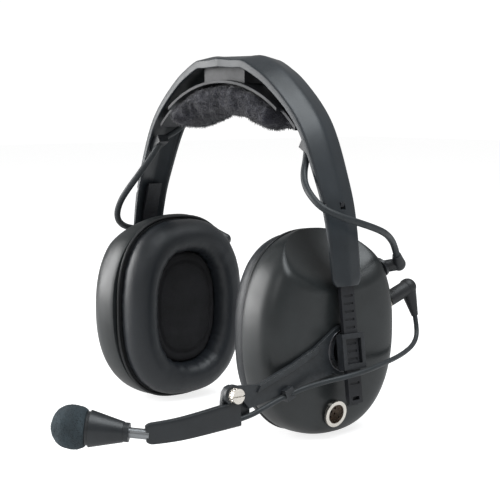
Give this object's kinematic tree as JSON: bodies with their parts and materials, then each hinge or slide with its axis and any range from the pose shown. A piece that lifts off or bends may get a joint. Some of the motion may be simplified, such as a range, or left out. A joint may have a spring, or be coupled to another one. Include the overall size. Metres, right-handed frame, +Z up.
{
  "type": "aviation headset",
  "caption": "Aviation headset with a padded headband, two deep ear cups on sliding swivel hangers and a microphone on a hinged boom.",
  "frame": {"origin": "middle of the head pad's underside, where the headset rests on the crown of the head", "axes": "+X to the wearer's left ear, which carries the microphone; -Y the way the wearer faces; +Z up"},
  "size_m": [0.1918, 0.2174, 0.1937],
  "materials": {
    "band_plastic": "semi-gloss moulded",
    "strap_plastic": "satin moulded",
    "fleece": "short dark pile",
    "rivet_metal": "plain steel",
    "fitting_plastic": "satin moulded",
    "spring_steel": "spring temper",
    "knuckle_plastic": "acetal",
    "cord_jacket": "satin jacket",
    "shell_plastic": "satin moulded",
    "baffle_plastic": "plain moulded",
    "seal_skin": "soft smooth leatherette",
    "liner_foam": "open-cell foam",
    "speaker_metal": "pressed basket",
    "mic_metal": "pressed can",
    "board": "solder mask",
    "jack_metal": "bright plate",
    "plug_rubber": "moulded overmould",
    "insulator": "phenolic",
    "boom_plastic": "satin moulded",
    "stem_metal": "dark satin",
    "windscreen_foam": "fine open-cell foam"
  },
  "bodies": {
    "headband": {"outer_band": "band_plastic", "suspension_strap": "strap_plastic", "suspension_spacer": "strap_plastic", "suspension_rivets": "rivet_metal", "head_pad": "fleece", "cable_clips": "fitting_plastic", "crossover_lead": "cord_jacket", "left_ear_cord": "cord_jacket", "right_ear_cord": "cord_jacket", "left_size_strap": "strap_plastic", "left_size_strap_rivets": "rivet_metal", "right_size_strap": "strap_plastic", "right_size_strap_rivets": "rivet_metal"},
    "left_hanger": {"left_hanger": "fitting_plastic", "left_hanger_pawl": "spring_steel", "left_swivel_pin": "rivet_metal"},
    "right_hanger": {"right_hanger": "fitting_plastic", "right_hanger_pawl": "spring_steel", "right_swivel_pin": "rivet_metal"},
    "left_knuckle": {"left_knuckle": "knuckle_plastic"},
    "right_knuckle": {"right_knuckle": "knuckle_plastic"},
    "left_cup": {"left_cup_shell": "shell_plastic", "left_pivot_socket": "fitting_plastic", "left_baffle": "baffle_plastic", "left_ear_seal": "seal_skin", "left_foam_liner": "liner_foam", "left_speaker": "speaker_metal", "left_sensing_mic": "mic_metal", "left_circuit_board": "board", "left_baffle_screws": "rivet_metal", "left_cord_gland": "fitting_plastic", "mic_jack": "jack_metal", "mic_plug": "plug_rubber", "down_lead_socket": "jack_metal", "socket_contacts": "insulator", "boom_washer": "insulator", "boom_retainer": "spring_steel", "mic_cord": "cord_jacket"},
    "right_cup": {"right_cup_shell": "shell_plastic", "right_pivot_socket": "fitting_plastic", "right_baffle": "baffle_plastic", "right_ear_seal": "seal_skin", "right_foam_liner": "liner_foam", "right_speaker": "speaker_metal", "right_sensing_mic": "mic_metal", "right_circuit_board": "board", "right_baffle_screws": "rivet_metal", "right_cord_gland": "fitting_plastic"},
    "boom_arm": {"boom_bracket": "boom_plastic", "boom_cord_clip": "fitting_plastic"},
    "boom_front": {"boom_blade": "boom_plastic"},
    "thumbscrew": {"thumbscrew": "jack_metal"},
    "mic_head": {"mic_stem": "stem_metal", "mic_housing": "boom_plastic", "mic_capsule": "mic_metal", "mic_windscreen": "windscreen_foam"}
  },
  "joints": [
    {"name": "left_size", "type": "slide", "parent": "headband", "child": "left_hanger", "axis": [-0.124, 0, 0.9923], "range_m": [-0.014, 0.006], "deforming": ["left_ear_cord"]},
    {"name": "left_swivel", "type": "hinge", "parent": "left_hanger", "child": "left_knuckle", "pos_m": [0.076, 0, -0.119], "axis": [0, 0, 1], "range_deg": [-4, 4]},
    {"name": "left_tilt", "type": "hinge", "parent": "left_knuckle", "child": "left_cup", "pos_m": [0.076, 0, -0.119], "axis": [0, 1, 0], "range_deg": [-2.5, 2.5]},
    {"name": "right_size", "type": "slide", "parent": "headband", "child": "right_hanger", "axis": [0.124, 0, 0.9923], "range_m": [-0.014, 0.006], "deforming": ["right_ear_cord"]},
    {"name": "right_swivel", "type": "hinge", "parent": "right_hanger", "child": "right_knuckle", "pos_m": [-0.076, 0, -0.119], "axis": [0, 0, 1], "range_deg": [-4, 4]},
    {"name": "right_tilt", "type": "hinge", "parent": "right_knuckle", "child": "right_cup", "pos_m": [-0.076, 0, -0.119], "axis": [0, 1, 0], "range_deg": [-2.5, 2.5]},
    {"name": "boom_swing", "type": "hinge", "parent": "left_cup", "child": "boom_arm", "pos_m": [0.0833, 0, -0.119], "axis": [1, 0, 0], "range_deg": [-68, 15], "deforming": ["mic_cord"]},
    {"name": "boom_fold", "type": "hinge", "parent": "boom_arm", "child": "boom_front", "pos_m": [0.0833, -0.0722, -0.1328], "axis": [1, 0, 0], "range_deg": [-18, 10]},
    {"name": "thumbscrew_turn", "type": "hinge", "parent": "boom_arm", "child": "thumbscrew", "pos_m": [0.0833, -0.0722, -0.1328], "axis": [1, 0, 0], "range_deg": [0, 180]},
    {"name": "mic_turn", "type": "hinge", "parent": "boom_front", "child": "mic_head", "pos_m": [0.066, -0.1201, -0.1469], "axis": [-0.6998, -0.7093, 0.084], "range_deg": [-90, 90]}
  ]
}
